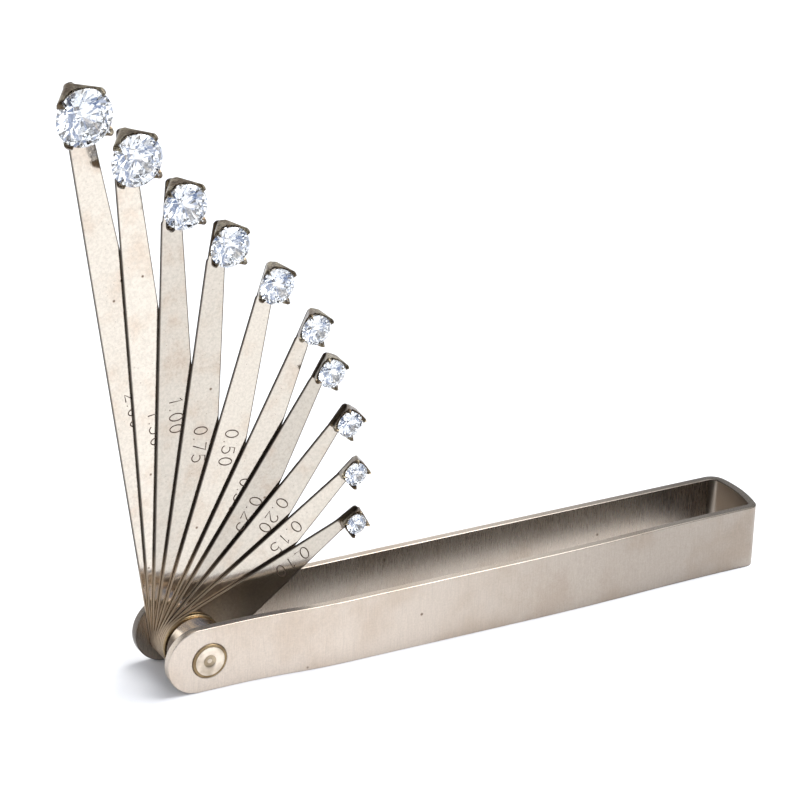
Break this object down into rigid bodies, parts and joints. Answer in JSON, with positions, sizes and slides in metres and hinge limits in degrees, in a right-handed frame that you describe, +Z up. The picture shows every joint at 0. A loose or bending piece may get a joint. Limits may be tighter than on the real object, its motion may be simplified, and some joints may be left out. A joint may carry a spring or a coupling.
{
  "type": "folding gemstone size gauge",
  "caption": "Folding gauge whose tapered steel blades fan out on one rivet from a bent strip case, each blade ending in a claw setting that holds a clear round stone.",
  "frame": {"origin": "on the pivot axis, in the plane of the case's back face", "axes": "+X along the case to its closed end, +Y out of the back face, +Z up across the strip"},
  "size_m": [0.1117, 0.0126, 0.0897],
  "materials": {
    "case_steel": "satin, fine lines across the strip",
    "rivet_steel": "turned",
    "washer_brass": "tarnished",
    "spacer_steel": "polished",
    "blade_steel": "polished, lightly pitted",
    "setting_steel": "darkened",
    "clear_stone": "faceted and polished"
  },
  "bodies": {
    "case": {"case": "case_steel", "rivet": "rivet_steel", "washer": "washer_brass", "spacer": "spacer_steel"},
    "arm_01": {"blade_01": "blade_steel", "setting_01": "setting_steel", "stone_01": "clear_stone"},
    "arm_02": {"blade_02": "blade_steel", "setting_02": "setting_steel", "stone_02": "clear_stone"},
    "arm_03": {"blade_03": "blade_steel", "setting_03": "setting_steel", "stone_03": "clear_stone"},
    "arm_04": {"blade_04": "blade_steel", "setting_04": "setting_steel", "stone_04": "clear_stone"},
    "arm_05": {"blade_05": "blade_steel", "setting_05": "setting_steel", "stone_05": "clear_stone"},
    "arm_06": {"blade_06": "blade_steel", "setting_06": "setting_steel", "stone_06": "clear_stone"},
    "arm_07": {"blade_07": "blade_steel", "setting_07": "setting_steel", "stone_07": "clear_stone"},
    "arm_08": {"blade_08": "blade_steel", "setting_08": "setting_steel", "stone_08": "clear_stone"},
    "arm_09": {"blade_09": "blade_steel", "setting_09": "setting_steel", "stone_09": "clear_stone"},
    "arm_10": {"blade_10": "blade_steel", "setting_10": "setting_steel", "stone_10": "clear_stone"}
  },
  "joints": [
    {"name": "arm_01_swing", "type": "hinge", "parent": "case", "child": "arm_01", "pos_m": [0, 0, 0], "axis": [0, -1, 0], "range_deg": [-101.35, 78.65]},
    {"name": "arm_02_swing", "type": "hinge", "parent": "case", "child": "arm_02", "pos_m": [0, 0, 0], "axis": [0, -1, 0], "range_deg": [-97.2, 82.8]},
    {"name": "arm_03_swing", "type": "hinge", "parent": "case", "child": "arm_03", "pos_m": [0, 0, 0], "axis": [0, -1, 0], "range_deg": [-92.15, 87.85]},
    {"name": "arm_04_swing", "type": "hinge", "parent": "case", "child": "arm_04", "pos_m": [0, 0, 0], "axis": [0, -1, 0], "range_deg": [-85.8, 94.2]},
    {"name": "arm_05_swing", "type": "hinge", "parent": "case", "child": "arm_05", "pos_m": [0, 0, 0], "axis": [0, -1, 0], "range_deg": [-77.1, 102.9]},
    {"name": "arm_06_swing", "type": "hinge", "parent": "case", "child": "arm_06", "pos_m": [0, 0, 0], "axis": [0, -1, 0], "range_deg": [-67.9, 112.1]},
    {"name": "arm_07_swing", "type": "hinge", "parent": "case", "child": "arm_07", "pos_m": [0, 0, 0], "axis": [0, -1, 0], "range_deg": [-61.7, 118.3]},
    {"name": "arm_08_swing", "type": "hinge", "parent": "case", "child": "arm_08", "pos_m": [0, 0, 0], "axis": [0, -1, 0], "range_deg": [-52.1, 127.9]},
    {"name": "arm_09_swing", "type": "hinge", "parent": "case", "child": "arm_09", "pos_m": [0, 0, 0], "axis": [0, -1, 0], "range_deg": [-41.3, 138.7]},
    {"name": "arm_10_swing", "type": "hinge", "parent": "case", "child": "arm_10", "pos_m": [0, 0, 0], "axis": [0, -1, 0], "range_deg": [-30.2, 149.8]}
  ]
}
